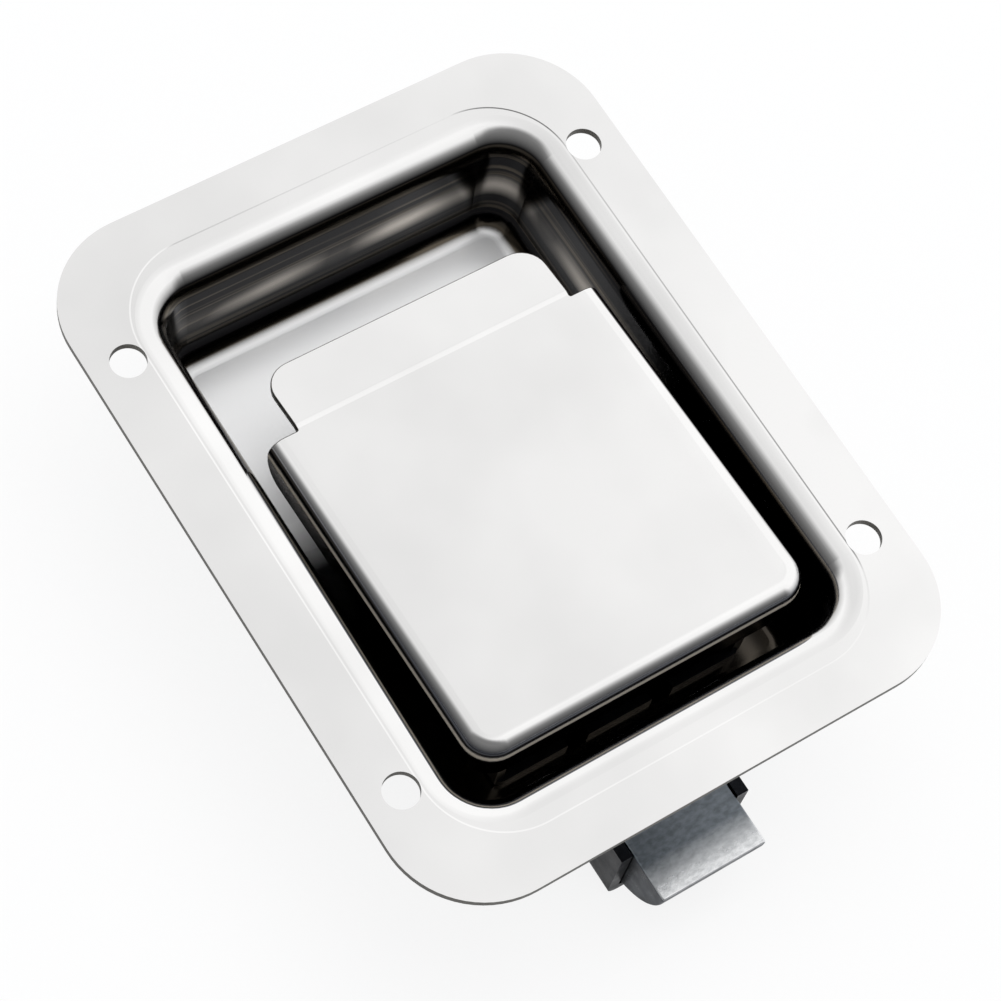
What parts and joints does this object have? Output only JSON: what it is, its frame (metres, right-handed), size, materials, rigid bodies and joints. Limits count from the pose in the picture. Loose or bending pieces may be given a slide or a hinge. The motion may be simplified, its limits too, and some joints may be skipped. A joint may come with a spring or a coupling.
{
  "type": "flush paddle latch",
  "caption": "Flush recessed paddle latch: stainless pan with flanged mounting plate, folded lift-up paddle on a hinge pin, and a sprung slam bolt in a guide channel.",
  "frame": {"origin": "centre of the flange's mounting plane, which is the back of the flange and the outer face of the panel it is fixed to", "axes": "+Z out of the panel towards the user, +Y from the bolt towards the finger pocket, +X to the right when +Y is up; the bolt points along -Y"},
  "size_m": [0.086, 0.1166, 0.0365],
  "materials": {
    "polished_stainless": "mirror polished stainless sheet",
    "zinc_plate": "bright zinc plated pressed steel",
    "zinc_bolt": "satin zinc plated solid steel",
    "steel_pin": "ground steel",
    "steel_rivet": "stainless rivet",
    "spring_steel": "drawn spring wire",
    "black_ring": "blackened spring steel",
    "washer_steel": "zinc plated washer"
  },
  "bodies": {
    "pan_assembly": {"pan": "polished_stainless", "hinge_bracket": "zinc_plate", "bolt_housing": "zinc_plate", "housing_rivet_1": "steel_rivet", "housing_rivet_2": "steel_rivet", "housing_rivet_3": "steel_rivet", "housing_rivet_4": "steel_rivet", "pivot_pin": "steel_pin", "pivot_ring": "black_ring", "return_spring_right": "spring_steel", "return_spring_left": "spring_steel", "bolt_spring": "spring_steel", "spring_washer_rear": "washer_steel"},
    "paddle_assembly": {"paddle": "polished_stainless", "paddle_lever": "zinc_plate"},
    "bolt_assembly": {"bolt": "zinc_bolt", "bolt_drive_pin": "steel_pin", "bolt_rod": "steel_pin", "bolt_rod_ring": "black_ring", "spring_washer_front": "washer_steel"}
  },
  "joints": [
    {"name": "paddle_hinge", "type": "hinge", "parent": "pan_assembly", "child": "paddle_assembly", "pos_m": [0, -0.0295, -0.0065], "axis": [1, 0, 0], "range_deg": [0, 35], "stiffness_Nm_per_rad": 0.06, "springref_deg": -34.38, "deforming": ["return_spring_right", "return_spring_left"]},
    {"name": "bolt_slide", "type": "slide", "parent": "pan_assembly", "child": "bolt_assembly", "axis": [0, 1, 0], "range_m": [0, 0.0107], "stiffness_N_per_m": 250, "springref_m": -0.02, "deforming": ["bolt_spring"]}
  ],
  "couplings": [
    {"joint": "bolt_slide", "follows": "paddle_hinge", "m_per_rad": 0.0175}
  ]
}
